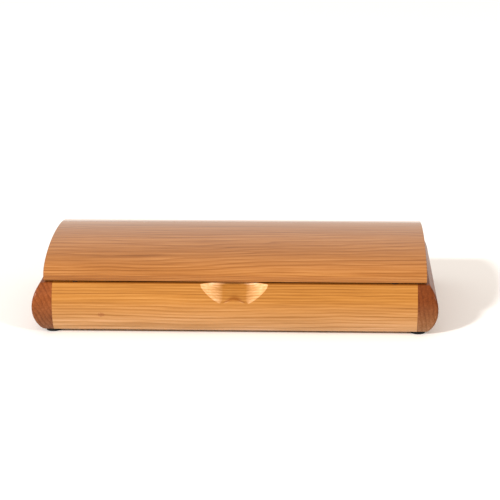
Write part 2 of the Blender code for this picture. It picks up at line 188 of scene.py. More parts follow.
def apply_modifiers(obj):
    """Replace an object's mesh by what its modifiers make of it."""
    bpy.context.view_layer.update()
    evaluated = obj.evaluated_get(bpy.context.evaluated_depsgraph_get())
    mesh = bpy.data.meshes.new_from_object(evaluated)
    obj.modifiers.clear()
    old = obj.data
    obj.data = mesh
    bpy.data.meshes.remove(old)


def box_cutter(low, high):
    bm = bmesh.new()
    bmesh.ops.create_cube(bm, size=1.0)
    bmesh.ops.scale(bm, vec=Vector(high) - Vector(low), verts=bm.verts)
    bmesh.ops.translate(bm, vec=(Vector(high) + Vector(low)) / 2, verts=bm.verts)
    return object_from_bmesh("cutter", bm)


def cylinder_cutter(middle, radius, length, along="Z", segments=48):
    bm = bmesh.new()
    bmesh.ops.create_cone(bm, cap_ends=True, segments=segments, radius1=radius, radius2=radius,
                          depth=length)
    if along == "X":
        bmesh.ops.rotate(bm, matrix=Matrix.Rotation(math.radians(90), 3, "Y"), verts=bm.verts)
    bmesh.ops.translate(bm, vec=middle, verts=bm.verts)
    return object_from_bmesh("cutter", bm)


def cut(obj, cutters):
    """Take cutters away from an object, for good, and remove them."""
    for cutter in cutters:
        modifier = obj.modifiers.new("Cut", "BOOLEAN")
        modifier.operation = "DIFFERENCE"
        modifier.solver = "EXACT"
        modifier.object = cutter
    apply_modifiers(obj)
    for cutter in cutters:
        bpy.data.objects.remove(cutter, do_unlink=True)


def bevel_edges(obj, width, segments, angle):
    modifier = obj.modifiers.new("Soft edges", "BEVEL")
    modifier.width = width
    modifier.segments = segments
    modifier.limit_method = "ANGLE"
    modifier.angle_limit = math.radians(angle)
    apply_modifiers(obj)


def loft(name, loops):
    """A closed solid through loops of equally many points, capped at both ends."""
    bm = bmesh.new()
    rows = [[bm.verts.new(point) for point in loop] for loop in loops]
    count = len(rows[0])
    for first, second in zip(rows, rows[1:]):
        for index in range(count):
            after = (index + 1) % count
            bm.faces.new((first[index], first[after], second[after], second[index]))
    bm.faces.new(rows[0])
    bm.faces.new(rows[-1])
    return object_from_bmesh(name, bm)


def rounded_corner(before, corner, after, radius, steps=4):
    """Points of a soft corner between two straight runs, as 2D vectors."""
    start = corner + (before - corner).normalized() * radius
    end = corner + (after - corner).normalized() * radius
    points = []
    for step in range(steps + 1):
        t = step / steps
        points.append(start * (1 - t) ** 2 + corner * 2 * t * (1 - t) + end * t ** 2)
    return points


def evenly(start, end, steps):
    """Values from start to end, both included, with equal steps between them."""
    return [start + (end - start) * step / steps for step in range(steps + 1)]


def quarter_turn(steps=6):
    """(sine, cosine) pairs from 0 to 90 degrees, for rounding an edge."""
    return [(math.sin(angle), math.cos(angle)) for angle in evenly(0.0, math.pi / 2, steps)]


def turned(name, profile, steps=48):
    """Turn a profile of (radius, height) points, top to bottom, about the Z axis."""
    bm = bmesh.new()
    rings = []
    for radius, height in profile:
        if radius == 0:
            rings.append([bm.verts.new((0, 0, height))])
            continue
        ring = []
        for step in range(steps):
            angle = 2 * math.pi * step / steps
            ring.append(bm.verts.new((radius * math.cos(angle), radius * math.sin(angle), height)))
        rings.append(ring)
    for first, second in zip(rings, rings[1:]):
        for index in range(steps):
            after = (index + 1) % steps
            if len(first) == 1:
                bm.faces.new((first[0], second[index], second[after]))
            elif len(second) == 1:
                bm.faces.new((first[index], second[0], first[after]))
            else:
                bm.faces.new((first[index], second[index], second[after], first[after]))
    return object_from_bmesh(name, bm)


# ---------------------------------------------------------------- shapes of the walls
def arc_setback(distance, reach, setback):
    """How far an arc falls back at a distance from its top, if it falls back by setback at reach."""
    radius = (reach ** 2 + setback ** 2) / (2 * setback)
    return radius - math.sqrt(max(radius ** 2 - distance ** 2, 0.0))


def wall_setback(z):
    """How far the walls' outer face lies inside its widest line, at a height."""
    if z > BULGE_Z:
        return arc_setback(z - BULGE_Z, WALL_TOP - BULGE_Z, TOP_SETBACK)
    return arc_setback(BULGE_Z - z, BULGE_Z - WALL_BOTTOM, BOTTOM_SETBACK)


def smooth_min(a, b, blend):
    """The smaller of two values, rounded where they are within blend of each other."""
    overlap = max(blend - abs(a - b), 0.0) / blend
    return min(a, b) - overlap ** 2 * blend / 4


def scoop_outline(x):
    """How far below the rim the scoop ends: two round lobes with a hump between them."""
    slant = SCOOP_SIDE_SLOPE * (SCOOP_SIDE_START - abs(x))
    hump = SCOOP_HUMP * math.exp(-(x / SCOOP_HUMP_WIDTH) ** 2)
    return smooth_min(slant, SCOOP_DROP - hump, SCOOP_BOTTOM_BLEND)


def scoop_side(drop):
    """How far from the middle the scoop's sloping side ends, at a height below the rim."""
    corner = SCOOP_HALF_WIDTH - drop / SCOOP_CORNER_SLOPE
    slant = SCOOP_SIDE_START - drop / SCOOP_SIDE_SLOPE
    return smooth_min(corner, slant, SCOOP_CORNER_BLEND)


def soft_positive(value):
    """The value where it is above zero and nothing where it is below, with a soft change."""
    return (value + math.hypot(value, SCOOP_ARRIS)) / 2


def scoop_depth(x, z):
    """How deep the scoop is cut at a place on the front panel's face."""
    drop = WALL_TOP - z
    floor = -smooth_min(-abs(x), -SCOOP_FLOOR_HALF, SCOOP_FLOOR_BLEND)
    sides = SCOOP_STEEPNESS * soft_positive(scoop_side(drop) - floor)
    sides *= 1 + SCOOP_WALL_DEEPENING * min(drop / SCOOP_WALL_HEIGHT, 1.0)
    ledge = SCOOP_LEDGE_STEEPNESS * soft_positive(scoop_outline(x) - drop)
    return (sides ** -3 + ledge ** -3) ** (-1 / 3)


def panel_loop(x, side, heights, scooped):
    """Section of the front (-1) or back (+1) panel at x, as points in space."""
    def face(z):
        depth = scoop_depth(x, z) if scooped else 0.0
        return Vector((WIDEST_Y - wall_setback(z) - depth, z))

    top_outer = face(WALL_TOP)
    bottom_outer = face(WALL_BOTTOM)
    top_inner = Vector((INNER_Y, WALL_TOP))
    bottom_inner = Vector((INNER_Y, WALL_BOTTOM))
    groove_y = bottom_high.y + HIDDEN_GAP
    groove_low = bottom_low.z - HIDDEN_GAP
    groove_high = bottom_high.z + HIDDEN_GAP

    points = [bottom_inner]
    points += rounded_corner(bottom_inner, bottom_outer, face(WALL_BOTTOM + EDGE_RADIUS), EDGE_RADIUS)
    points += [face(z) for z in heights]
    points += rounded_corner(face(WALL_TOP - EDGE_RADIUS), top_outer, top_inner, EDGE_RADIUS)
    points += rounded_corner(top_outer, top_inner, bottom_inner, EDGE_RADIUS)
    points += [
        Vector((INNER_Y, groove_high)),
        Vector((groove_y, groove_high)),
        Vector((groove_y, groove_low)),
        Vector((INNER_Y, groove_low)),
    ]
    return [(x, side * point.x, point.y) for point in points]


def face_heights(fine_from, fine_step, coarse_step=1.2 * MM):
    """Heights at which a panel's outer face is drawn: fine above fine_from, coarse below."""
    low = WALL_BOTTOM + 2 * EDGE_RADIUS
    high = WALL_TOP - 2 * EDGE_RADIUS
    coarse = evenly(low, fine_from, round((fine_from - low) / coarse_step))
    fine = evenly(fine_from, high, round((high - fine_from) / fine_step))
    return coarse + fine[1:]


def make_front_panel():
    half = SEAM_X - SEAM_GAP
    fine_half = SCOOP_HALF_WIDTH + SCOOP_MARGIN
    fine_steps = 180
    plain_steps = 16
    heights = face_heights(WALL_TOP - SCOOP_DROP - SCOOP_MARGIN, 0.3 * MM)
    places = evenly(-half, -fine_half, plain_steps)
    places += evenly(-fine_half, fine_half, fine_steps)[1:]
    places += evenly(fine_half, half, plain_steps)[1:]
    panel = loft("cherry_front_panel", [panel_loop(x, -1, heights, True) for x in places])
    recesses = [pad_recess(side) for side in (-1, 1)]
    cut(panel, recesses)
    smooth(panel, 50.0)
    return panel


def make_back_panel():
    half = SEAM_X - SEAM_GAP
    heights = face_heights(BULGE_Z, 0.8 * MM)
    panel = loft("cherry_back_panel", [panel_loop(x, 1, heights, False) for x in (-half, half)])
    cutters = []
    for side in ("left", "right"):
        cutters.append(leaf_mortise(side, "box"))
        cutters.append(knuckle_room(side))
        cutters += [screw_hole(side, "box", number) for number in (1, 2)]
    cut(panel, cutters)
    smooth(panel)
    return panel


def side_name(side):
    return "left" if side < 0 else "right"


def end_ring(side, z, inset=0.0):
    """Plan outline of an end piece at a height, with soft upright corners on the outside."""
    setback = wall_setback(z)
    outer_x = WIDEST_X - setback - inset
    outer_y = WIDEST_Y - setback - inset
    points = [Vector((INNER_X, -outer_y))]
    corners = [
        (Vector((INNER_X, -outer_y)), Vector((outer_x, -outer_y)), Vector((outer_x, outer_y))),
        (Vector((outer_x, -outer_y)), Vector((outer_x, outer_y)), Vector((INNER_X, outer_y))),
    ]
    for before, corner, after in corners:
        points += rounded_corner(before, corner, after, CORNER_RADIUS, steps=8)
    points.append(Vector((INNER_X, outer_y)))
    return [(side * point.x, point.y, z) for point in points]


def make_end(side):
    """The left (-1) or right (+1) end piece, rabbeted for the panels and grooved for the bottom."""
    rings = []
    for sine, cosine in quarter_turn():
        rings.append(end_ring(side, WALL_BOTTOM + EDGE_RADIUS * (1 - cosine), EDGE_RADIUS * (1 - sine)))
    for z in evenly(WALL_BOTTOM + EDGE_RADIUS, WALL_TOP - EDGE_RADIUS, 56)[1:]:
        rings.append(end_ring(side, z))
    for sine, cosine in quarter_turn()[1:]:
        rings.append(end_ring(side, WALL_TOP - EDGE_RADIUS * (1 - sine), EDGE_RADIUS * (1 - cosine)))
    end = loft(side_name(side) + "_end_piece", rings)

    cutters = []
    for face in (-1, 1):
        near_y = face * (INNER_Y - HIDDEN_GAP)
        far_y = face * (WIDEST_Y + CUTTER_OVER)
        near_x = side * (INNER_X - CUTTER_OVER)
        far_x = side * (SEAM_X + SEAM_GAP)
        cutters.append(box_cutter(
            (min(near_x, far_x), min(near_y, far_y), WALL_BOTTOM - CUTTER_OVER),
            (max(near_x, far_x), max(near_y, far_y), WALL_TOP + CUTTER_OVER)))
    reach_x = bottom_high.x + HIDDEN_GAP
    reach_y = bottom_high.y + HIDDEN_GAP
    cutters.append(box_cutter((-reach_x, -reach_y, bottom_low.z - HIDDEN_GAP),
                              (reach_x, reach_y, bottom_high.z + HIDDEN_GAP)))
    cut(end, cutters)
    smooth(end, 30.0)
    return end


# ---------------------------------------------------------------- the lid
def lid_section(x):
    """Section of the lid at x: a flat underside, upright edges and half an ellipse."""
    rise = lid_high.z - lid_low.z - LID_EDGE
    steps = 96
    points = [(x, lid_low.y, lid_low.z), (x, lid_high.y, lid_low.z)]
    for step in range(steps + 1):
        angle = math.pi * step / steps
        points.append((x, lid_high.y * math.cos(angle),
                       lid_low.z + LID_EDGE + rise * math.sin(angle)))
    return points


def make_lid():
    lid = loft("cherry_lid", [lid_section(x) for x in (lid_low.x, lid_high.x)])
    bevel_edges(lid, LID_EDGE_RADIUS, 4, 30.0)
    cutters = []
    for side in ("left", "right"):
        cutters.append(leaf_mortise(side, "lid"))
        cutters += [screw_hole(side, "lid", number) for number in (1, 2)]
    cut(lid, cutters)
    smooth(lid, 30.0)
    return lid


# ---------------------------------------------------------------- hardware
def leaf_mortise(side, owner):
    """The housing for a hinge leaf, a little larger than the leaf's plate."""
    low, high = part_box("hinge_{}_{}_leaf".format(side, owner))
    seat = HIDDEN_GAP / 2
    if owner == "box":
        z_low = WALL_TOP - LEAF_THICKNESS - seat
        z_high = WALL_TOP + LID_GAP / 2
    else:
        z_low = lid_low.z - LID_GAP / 2
        z_high = lid_low.z + LEAF_THICKNESS + seat
    return box_cutter((low.x - seat, low.y - seat, z_low),
                      (high.x + seat, high.y + 2 * CUTTER_OVER, z_high))


def knuckle_room(side):
    """The round housing that the hinge's knuckles lie in."""
    low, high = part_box("hinge_{}_pin".format(side))
    leaf_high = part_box("hinge_{}_box_leaf".format(side))[1]
    radius = leaf_high.y - (low.y + high.y) / 2 + HIDDEN_GAP
    return cylinder_cutter((low + high) / 2, radius, high.x - low.x + HIDDEN_GAP, along="X")


def screw_hole(side, owner, number):
    low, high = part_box("screw_{}_{}_{}".format(side, owner, number))
    length = high.z - low.z + 2 * HIDDEN_GAP
    return cylinder_cutter((low + high) / 2, SCREW_SHANK_RADIUS + HIDDEN_GAP, length, segments=24)


def screw_profile(head_radius, length):
    """Outline of a screw, from the middle of its head down to its tip, with ridges for a thread."""
    profile = [(0.0, 0.0), (head_radius - SCREW_HEAD_EDGE, 0.0), (head_radius, -SCREW_HEAD_EDGE),
               (SCREW_SHANK_RADIUS, -SCREW_HEAD_DEPTH)]
    depth = -SCREW_HEAD_DEPTH - SCREW_PITCH
    while depth > -length + SCREW_BARE_TIP:
        crest = SCREW_SHANK_RADIUS * min((depth + length) / SCREW_POINT, 1.0)
        root = crest * SCREW_ROOT
        profile += [(root, depth), (crest, depth - SCREW_PITCH * 0.3), (root, depth - SCREW_PITCH * 0.6)]
        depth -= SCREW_PITCH
    profile.append((0.0, -length))
    return profile


def make_screw(side, owner, number):
    """A slotted countersunk wood screw, whose thread is drawn as rings."""
    node = "screw_{}_{}_{}".format(side, owner, number)
    low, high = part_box(node)
    head_radius = (high.x - low.x) / 2
    length = high.z - low.z
    screw = turned("slotted_" + node, screw_profile(head_radius, length), steps=32)
    slot_half_length = head_radius * 1.2
    cut(screw, [box_cutter((-slot_half_length, -SLOT_HALF_WIDTH, -SLOT_DEPTH),
                           (slot_half_length, SLOT_HALF_WIDTH, SLOT_DEPTH))])
    turn = Matrix.Rotation(math.radians(SCREW_TURNS[(side, owner, number)]), 4, "Z")
    head_z = low.z if owner == "lid" else high.z
    flip = Matrix.Rotation(math.pi, 4, "X") if owner == "lid" else Matrix.Identity(4)
    place = Matrix.Translation(((low.x + high.x) / 2, (low.y + high.y) / 2, head_z))
    screw.data.transform(place @ flip @ turn)
    smooth(screw, 40.0)
    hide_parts(node)
    return screw


def pad_recess(side):
    """The round recess in the front panel's rim for a lid bumper."""
    low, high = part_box("lid_bumper_" + side_name(side))
    radius = (high.x - low.x) / 2 + HIDDEN_GAP / 2
    top = WALL_TOP + RECESS_OVER
    bottom = low.z - HIDDEN_GAP / 2
    middle = ((low.x + high.x) / 2, (low.y + high.y) / 2, (top + bottom) / 2)
    return cylinder_cutter(middle, radius, top - bottom)


def soft_disc(node, taper, rounding):
    """A moulded rubber disc with round edges, where a CAD node is, narrower below by the taper."""
    low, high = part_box(node)
    top_radius = (high.x - low.x) / 2
    bottom_radius = top_radius - taper
    profile = [(0.0, high.z)]
    for sine, cosine in quarter_turn():
        profile.append((top_radius - rounding * (1 - sine), high.z - rounding * (1 - cosine)))
    for sine, cosine in quarter_turn():
        profile.append((bottom_radius - rounding * (1 - cosine), low.z + rounding * (1 - sine)))
    profile.append((0.0, low.z))
    disc = turned("rubber_" + node, profile)
    disc.data.transform(Matrix.Translation(((low.x + high.x) / 2, (low.y + high.y) / 2, 0)))
    smooth(disc, 60.0)
    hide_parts(node)
    return disc


def make_bottom_panel():
    panel = box_cutter(bottom_low, bottom_high)
    panel.name = "plywood_bottom"
    bevel_edges(panel, PLY_EDGE_RADIUS, 2, 30.0)
    smooth(panel)
    return panel


def felt_top(column, row):
    """A point of the felt's upper surface, lower along the cut edge."""
    x = felt_low.x + (felt_high.x - felt_low.x) * column / FELT_COLUMNS
    y = felt_low.y + (felt_high.y - felt_low.y) * row / FELT_ROWS
    at_edge = column in (0, FELT_COLUMNS) or row in (0, FELT_ROWS)
    drop = (felt_high.z - felt_low.z) * FELT_EDGE_DROP if at_edge else 0.0
    lift = FELT_WAVE * noise.noise((x * FELT_WAVES_PER_METRE, y * FELT_WAVES_PER_METRE, 0.0))
    return x, y, felt_high.z - FELT_WAVE + lift - drop


def make_felt():
    """A laid sheet of felt whose nap makes it very slightly uneven."""
    bm = bmesh.new()
    top = []
    bottom = []
    for column in range(FELT_COLUMNS + 1):
        points = [felt_top(column, row) for row in range(FELT_ROWS + 1)]
        top.append([bm.verts.new(point) for point in points])
        bottom.append([bm.verts.new((x, y, felt_low.z)) for x, y, z in points])
    for grid in (top, bottom):
        for first, second in zip(grid, grid[1:]):
            for row in range(FELT_ROWS):
                bm.faces.new((first[row], second[row], second[row + 1], first[row + 1]))
    rim_top = rim(top, FELT_COLUMNS, FELT_ROWS)
    rim_bottom = rim(bottom, FELT_COLUMNS, FELT_ROWS)
    count = len(rim_top)
    for index in range(count):
        after = (index + 1) % count
        bm.faces.new((rim_top[index], rim_bottom[index], rim_bottom[after], rim_top[after]))
    felt = object_from_bmesh("felt_sheet", bm)
    smooth(felt, 70.0)
    return felt


def rim(grid, columns, rows):
    """The outside vertices of a grid, in order."""
    path = [grid[column][0] for column in range(columns)]
    path += [grid[columns][row] for row in range(rows)]
    path += [grid[column][rows] for column in range(columns, 0, -1)]
    path += [grid[0][row] for row in range(rows, 0, -1)]
    return path


# ---------------------------------------------------------------- materials
class Nodes:
    """Short ways to add shader nodes to one material."""

    def __init__(self, name):
        self.material = bpy.data.materials.new(name)
        self.material.use_nodes = True
        self.tree = self.material.node_tree
        self.shader = self.tree.nodes["Principled BSDF"]

    def add(self, kind, **settings):
        node = self.tree.nodes.new("ShaderNode" + kind)
        for key, value in settings.items():
            setattr(node, key, value)
        return node

    def link(self, source, target):
        self.tree.links.new(source, target)

    def feed(self, socket, value):
        """Link a socket to another node's output, or set it to a number."""
        if isinstance(value, bpy.types.NodeSocket):
            self.link(value, socket)
        else:
            socket.default_value = value

    def math(self, operation, a, b=0.0):
        node = self.add("Math", operation=operation)
        self.feed(node.inputs[0], a)
        self.feed(node.inputs[1], b)
        return node.outputs[0]

    def stretch(self, vector, sizes):
        """Divide coordinates by a size along each axis, so that noise gets that grain."""
        node = self.add("VectorMath", operation="DIVIDE")
        self.feed(node.inputs[0], vector)
        node.inputs[1].default_value = sizes
        return node.outputs[0]

    def noise(self, vector, detail=2.0, roughness=0.5):
        node = self.add("TexNoise")
        self.feed(node.inputs["Vector"], vector)
        node.inputs["Scale"].default_value = 1.0
        node.inputs["Detail"].default_value = detail
        node.inputs["Roughness"].default_value = roughness
        return node.outputs["Fac"]

    def grain_noise(self, vector, size, **settings):
        """Noise whose spots have a length along X and a width across it."""
        length, width = size
        return self.noise(self.stretch(vector, (length, width, width)), **settings)

    def even_noise(self, vector, size, **settings):
        return self.grain_noise(vector, (size, size), **settings)

    def ramp(self, value, stops):
        """Greys or colours along a value, from (position, grey or colour) pairs."""
        node = self.add("ValToRGB")
        elements = node.color_ramp.elements
        while len(elements) < len(stops):
            elements.new(0.5)
        for element, (position, colour) in zip(elements, stops):
            element.position = position
            element.color = (*colour, 1.0) if hasattr(colour, "__len__") else (colour,) * 3 + (1.0,)
        self.feed(node.inputs["Fac"], value)
        return node.outputs["Color"]

    def mix(self, factor, a, b, blend="MIX"):
        node = self.add("Mix", data_type="RGBA", blend_type=blend)
        self.feed(node.inputs["Factor"], factor)
        self.feed(node.inputs["A"], a if isinstance(a, bpy.types.NodeSocket) else (*a, 1.0))
        self.feed(node.inputs["B"], b if isinstance(b, bpy.types.NodeSocket) else (*b, 1.0))
        return node.outputs["Result"]

    def multiply(self, a, b):
        return self.mix(1.0, a, b, blend="MULTIPLY")

    def rescale(self, value, source=(0.0, 1.0), target=(0.0, 1.0)):
        """Map one range of values onto another."""
        node = self.add("MapRange")
        self.link(value, node.inputs["Value"])
        for label, (low, high) in (("From", source), ("To", target)):
            node.inputs[label + " Min"].default_value = low
            node.inputs[label + " Max"].default_value = high
        return node.outputs["Result"]

    def bump(self, height, strength, distance):
        node = self.add("Bump")
        node.inputs["Strength"].default_value = strength
        node.inputs["Distance"].default_value = distance
        self.link(height, node.inputs["Height"])
        self.link(node.outputs["Normal"], self.shader.inputs["Normal"])

    def set(self, **values):
        """Set the shader's sockets, named with underscores for spaces."""
        for name, value in values.items():
            self.shader.inputs[name.replace("_", " ")].default_value = value


def grain_coordinates(nodes, along, offset):
    """Object coordinates with the grain along X, moved to another place in the tree."""
    coordinates = nodes.add("TexCoord").outputs["Object"]
    mapping = nodes.add("Mapping")
    mapping.inputs["Location"].default_value = offset
    if along == "Y":
        mapping.inputs["Rotation"].default_value = (0, 0, math.radians(90))
    nodes.link(coordinates, mapping.inputs["Vector"])
    return mapping.outputs["Vector"]


def split_axes(nodes, vector):
    node = nodes.add("SeparateXYZ")
    nodes.link(vector, node.inputs[0])
    return node.outputs


def ring_lines(nodes, place, pith, lean, ring_width, wander):
    """Dark late wood of the growth rings, from 0 to 1, round a pith that leans and wanders."""
    x, y, z = split_axes(nodes, place)
    across = nodes.math("SUBTRACT", y, nodes.math("ADD", nodes.math("MULTIPLY", x, lean[0]), pith[0]))
    down = nodes.math("SUBTRACT", z, nodes.math("ADD", nodes.math("MULTIPLY", x, lean[1]), pith[1]))
    distance = nodes.math("SQRT", nodes.math("ADD", nodes.math("MULTIPLY", across, across),
                                             nodes.math("MULTIPLY", down, down)))
    for size, reach in zip((SWAY_SIZE, SWING_SIZE), wander):
        shift = nodes.math("MULTIPLY", nodes.grain_noise(place, size), reach)
        distance = nodes.math("ADD", distance, shift)
    turns = nodes.math("DIVIDE", distance, ring_width)
    line = nodes.ramp(nodes.math("FRACT", turns),
                      [(0.0, 0.10), (0.45, 0.16), (0.78, 0.80), (0.90, 1.0), (0.99, 0.10)])

    # Some years leave a strong line and some a faint one.
    years = nodes.add("CombineXYZ")
    nodes.link(nodes.math("MULTIPLY", turns, YEARS_PER_STRENGTH), years.inputs[0])
    strength = nodes.ramp(nodes.noise(years.outputs[0], detail=1.0), [(0.28, 0.25), (0.66, 1.0)])
    return nodes.math("MULTIPLY", line, strength)


def board_colour(nodes, place, palette, line, fibres, pores, contrast, pores_shown):
    """Colour of a planed surface along the grain, from its rings, fibres, streaks and pores."""
    streaks = nodes.grain_noise(place, STREAK_SIZE)
    tone = nodes.grain_noise(place, TONE_SIZE, detail=3.0, roughness=0.55)
    value = line
    for layer, weight in ((fibres, FIBRE_WEIGHT), (streaks, STREAK_WEIGHT), (tone, TONE_WEIGHT)):
        centred = nodes.math("SUBTRACT", layer, 0.5)
        value = nodes.math("ADD", value, nodes.math("MULTIPLY", centred, weight * contrast))
    value = nodes.math("ADD", value, MIDDLE_TONE)
    light, middle, dark = palette
    colour = nodes.ramp(value, [(0.10, light), (0.45, middle), (0.90, dark)])
    pore_mask = nodes.ramp(pores, [(0.60, 0.0), (0.72, 1.0)])
    return nodes.mix(nodes.math("MULTIPLY", pore_mask, pores_shown), colour, dark)


def tint_grain_and_paint_facing_shade(nodes, plain, along, end_grain_and_sheen_shade, painted_facing_shades):
    """Shade a colour where the surface cuts the fibres, and where it faces given ways.

    Fibres cut across return the light differently from fibres lying in the surface; on the front
    panel this tint is painted reflection of the side lights on the scoop's sloping sides. A facing
    shade is painted shade: an axis, +1 or -1 along it, how much the surface faces that way where the
    shade starts and where it is full, and the shade.
    """
    normal = split_axes(nodes, nodes.add("TexCoord").outputs["Normal"])
    faces_along_grain = nodes.ramp(nodes.math("ABSOLUTE", normal[along]), [(0.14, 0.0), (0.34, 1.0)])
    colour = nodes.mix(faces_along_grain, plain, nodes.multiply(plain, end_grain_and_sheen_shade))
    for axis, sign, start, full, shade in painted_facing_shades:
        painted_shade_mask = nodes.ramp(nodes.math("MULTIPLY", normal[axis], sign), [(start, 0.0), (full, 1.0)])
        colour = nodes.mix(painted_shade_mask, colour, nodes.multiply(plain, shade))
    return colour


def pale_lower_edge(nodes, place, colour, shade):
    """Let a colour turn paler towards a board's lower edge; on the front panel this is painted light,
    the floor's bounce.
    """
    height = split_axes(nodes, place)["Z"]
    lowness = nodes.rescale(height, source=(PALE_FROM, WALL_BOTTOM))
    return nodes.mix(nodes.math("POWER", lowness, PALE_CURVE), colour, nodes.multiply(colour, shade))


def gum_fleck(nodes, colour, middle):
    """Add a small brown gum spot with a ragged outline to a colour."""
    coordinates = nodes.add("TexCoord").outputs["Object"]
    ragged = nodes.even_noise(coordinates, 1.2 * MM)
    offset = nodes.add("VectorMath", operation="SUBTRACT")
    nodes.link(coordinates, offset.inputs[0])
    offset.inputs[1].default_value = middle
    length = nodes.add("VectorMath", operation="LENGTH")
    nodes.link(nodes.stretch(offset.outputs[0], FLECK_SIZE), length.inputs[0])
    reach = nodes.math("ADD", length.outputs["Value"], nodes.math("SUBTRACT", ragged, 0.5))
    inside = nodes.ramp(reach, [(0.45, 1.0), (0.80, 0.0)])
    return nodes.mix(nodes.math("MULTIPLY", inside, FLECK_STRENGTH), colour, FLECK_COLOUR)


def wood_material(name, along, offset, pith, lean, ring_width, palette, end_grain_and_sheen_shade, wander,
                  rings=0.55, contrast=1.0, roughness=(0.42, 0.56), gloss=1.0, polish=0.10,
                  pores_shown=0.20, painted_facing_shades=(), pale_edge=None, fleck=None):
    """Solid wood: growth rings round a leaning pith, fibres, pores and slow changes of tone.

    pith is its distance (across, down) from the piece, lean its slopes along the grain, wander
    how far the rings sway slowly and quickly, and rings how dark they are. palette runs from the
    lightest early wood to the darkest late wood, and the shade for cut fibres multiplies the colour
    where the fibres are cut across: darker end grain on most boards, painted reflection of the side
    lights on the front panel's scoop. The facing shades are painted shade on faces turned given ways.
    pale_edge makes the board paler towards its lower edge, and fleck is the place of a gum spot.
    gloss and polish are the weight and the roughness of the varnish.
    """
    nodes = Nodes(name)
    place = grain_coordinates(nodes, along, offset)
    fibres = nodes.grain_noise(place, FIBRE_SIZE, detail=3.0, roughness=0.6)
    pores = nodes.grain_noise(place, PORE_SIZE)
    line = nodes.math("MULTIPLY", ring_lines(nodes, place, pith, lean, ring_width, wander), rings)
    colour = board_colour(nodes, place, palette, line, fibres, pores, contrast, pores_shown)
    colour = tint_grain_and_paint_facing_shade(nodes, colour, along, end_grain_and_sheen_shade, painted_facing_shades)
    if pale_edge:
        colour = pale_lower_edge(nodes, place, colour, pale_edge)
    if fleck:
        colour = gum_fleck(nodes, colour, fleck)
    nodes.link(colour, nodes.shader.inputs["Base Color"])
    nodes.link(nodes.rescale(fibres, target=roughness), nodes.shader.inputs["Roughness"])
    nodes.set(Specular_IOR_Level=0.06, Coat_Weight=gloss, Coat_Roughness=polish, Coat_IOR=1.30)
    nodes.bump(nodes.math("ADD", fibres, nodes.math("MULTIPLY", pores, 0.6)), 0.08, 0.2 * MM)
    return nodes.material


def lid_wood():
    return wood_material(
        "cherry_lid_wood", along="X", offset=(0.31, 0.0, 0.0),
        pith=(-0.075, -0.120), lean=(0.008, 0.014), ring_width=2.0 * MM, wander=(0.010, 0.0017),
        palette=((0.462, 0.203, 0.063), (0.352, 0.135, 0.033), (0.203, 0.065, 0.011)),
        end_grain_and_sheen_shade=(0.62, 0.50, 0.42), rings=0.46, contrast=1.15,
        # Painted shade on faces turned forward: the lid's upright front edge.
        painted_facing_shades=[("Y", -1, 0.55, 0.92, (0.86, 0.82, 0.68))])


def front_wood():
    return wood_material(
        "cherry_front_wood", along="X", offset=(0.05, 0.0, 0.0),
        pith=(-0.110, -0.050), lean=(0.0, 0.006), ring_width=2.3 * MM, wander=(0.010, 0.0022),
        palette=((0.475, 0.218, 0.054), (0.372, 0.150, 0.026), (0.223, 0.077, 0.009)),
        # Here the tint where the fibres are cut across is painted reflection of the side lights on the
        # scoop's sloping sides.
        end_grain_and_sheen_shade=(1.90, 2.55, 6.20), rings=0.44, gloss=0.6, polish=0.24,
        # Painted shade on faces turned up: the scoop's ledge and the rim's top under the lid.
        painted_facing_shades=[("Z", 1, 0.74, 0.86, (0.78, 0.64, 0.46))],
        # The paler lower edge is painted light: the floor's bounce on the panel's lower part.
        pale_edge=(1.32, 1.82, 4.70), fleck=FLECK_PLACE)


def back_wood():
    return wood_material(
        "cherry_back_wood", along="X", offset=(0.77, 0.0, 0.0),
        pith=(0.100, -0.060), lean=(0.01, 0.02), ring_width=2.5 * MM, wander=(0.014, 0.0026),
        palette=((0.490, 0.215, 0.054), (0.380, 0.145, 0.025), (0.225, 0.074, 0.009)),
        end_grain_and_sheen_shade=(0.62, 0.50, 0.42))


def end_wood(name, offset, tint, pale_edge):
    """The darker wood of an end piece: one palette, tinted for each board."""
    palette = [tuple(a * b for a, b in zip(colour, tint)) for colour in END_PALETTE]
    return wood_material(
        name, along="Y", offset=offset,
        pith=(0.10, -0.06), lean=(0.02, 0.02), ring_width=3.2 * MM, wander=(0.014, 0.003),
        palette=palette, end_grain_and_sheen_shade=(0.95, 0.93, 0.93), rings=0.36, contrast=0.8,
        gloss=0.35, polish=0.20, pores_shown=0.08, pale_edge=pale_edge)


def plywood_material():
    return wood_material(
        "plywood", along="X", offset=(0.1, 0.3, 0.0),
        pith=(0.02, -0.30), lean=(0.0, 0.02), ring_width=6.0 * MM, wander=(0.030, 0.006),
        palette=((0.720, 0.500, 0.280), (0.620, 0.400, 0.200), (0.480, 0.280, 0.130)),
        end_grain_and_sheen_shade=(0.7, 0.6, 0.5), rings=0.35, roughness=(0.55, 0.7), gloss=0.0)


def felt_material():
    nodes = Nodes("wool_felt")
    place = nodes.add("TexCoord").outputs["Object"]
    clumps = nodes.even_noise(place, 4.0 * MM, detail=3.0)
    hairs = nodes.even_noise(place, 0.5 * MM, detail=3.0, roughness=0.7)
    value = nodes.math("ADD", nodes.math("MULTIPLY", clumps, 0.5), nodes.math("MULTIPLY", hairs, 0.5))
    colour = nodes.ramp(value, [(0.30, (0.030, 0.009, 0.008)), (0.52, (0.062, 0.020, 0.017)),
                                (0.72, (0.110, 0.042, 0.036))])
    nodes.link(colour, nodes.shader.inputs["Base Color"])
    nodes.set(Roughness=0.95, Sheen_Weight=0.5, Sheen_Roughness=0.5, Specular_IOR_Level=0.2)
    nodes.bump(hairs, 0.5, 0.4 * MM)
    return nodes.material


